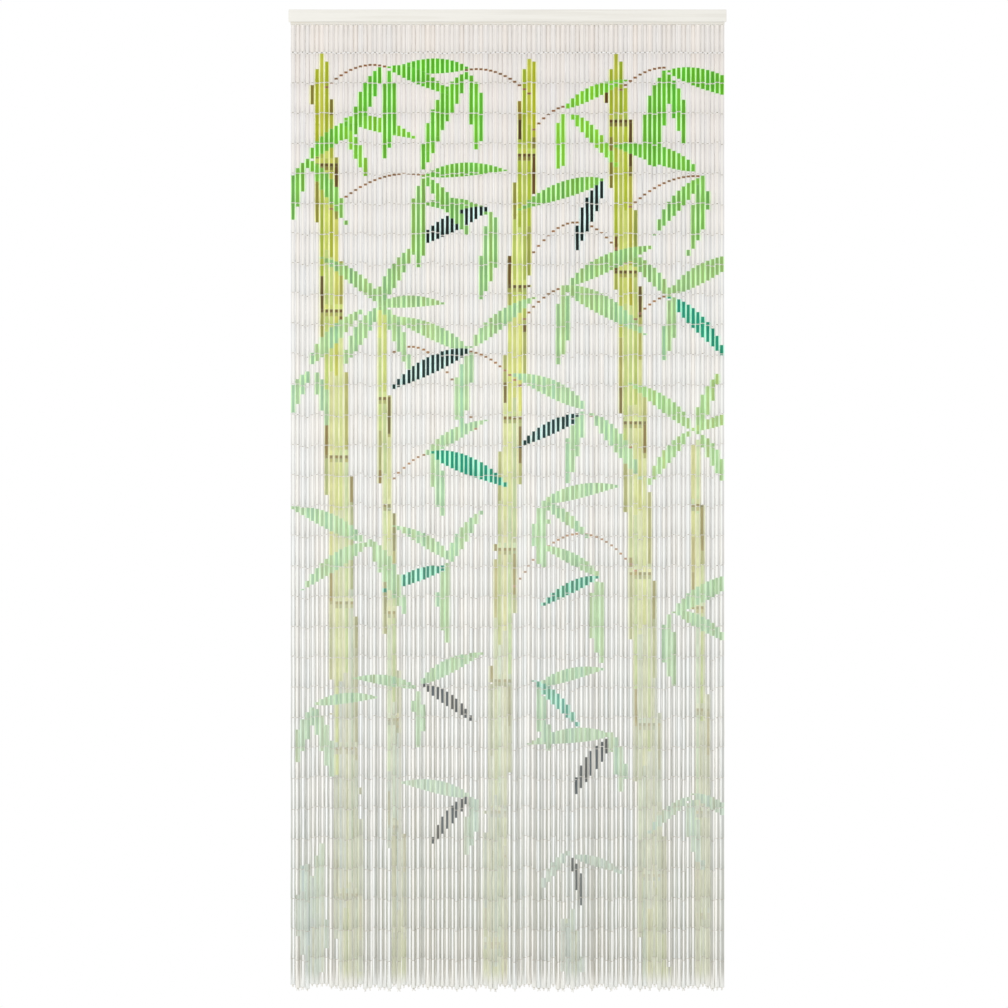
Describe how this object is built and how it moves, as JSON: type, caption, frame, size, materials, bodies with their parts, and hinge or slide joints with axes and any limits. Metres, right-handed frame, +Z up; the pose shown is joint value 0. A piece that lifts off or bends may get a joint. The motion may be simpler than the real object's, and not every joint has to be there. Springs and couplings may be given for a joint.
{
  "type": "bamboo door curtain with header rail",
  "caption": "Doorway curtain of bamboo tube strands that hang side by side from a painted wooden header rail, printed with bamboo canes and leaves.",
  "frame": {"origin": "middle of the header rail's back face, which lies on the wall over the doorway", "axes": "+X along the rail, to the right as seen from the room; +Y into the wall; +Z up"},
  "size_m": [0.9, 0.015, 2.0198],
  "materials": {
    "painted_rail": "satin cream paint over fine-grained wood",
    "painted_bamboo": "off-white painted bamboo tube with a printed bamboo grove in greens, fading to a pale grey mist at the foot",
    "link_wire": "dull thin wire eyes between the tubes",
    "end_cord": "matt twisted off-white cord, knotted under the last tube"
  },
  "bodies": {
    "root": {"header_rail": "painted_rail", "bamboo_strands": "painted_bamboo"}
  },
  "joints": []
}
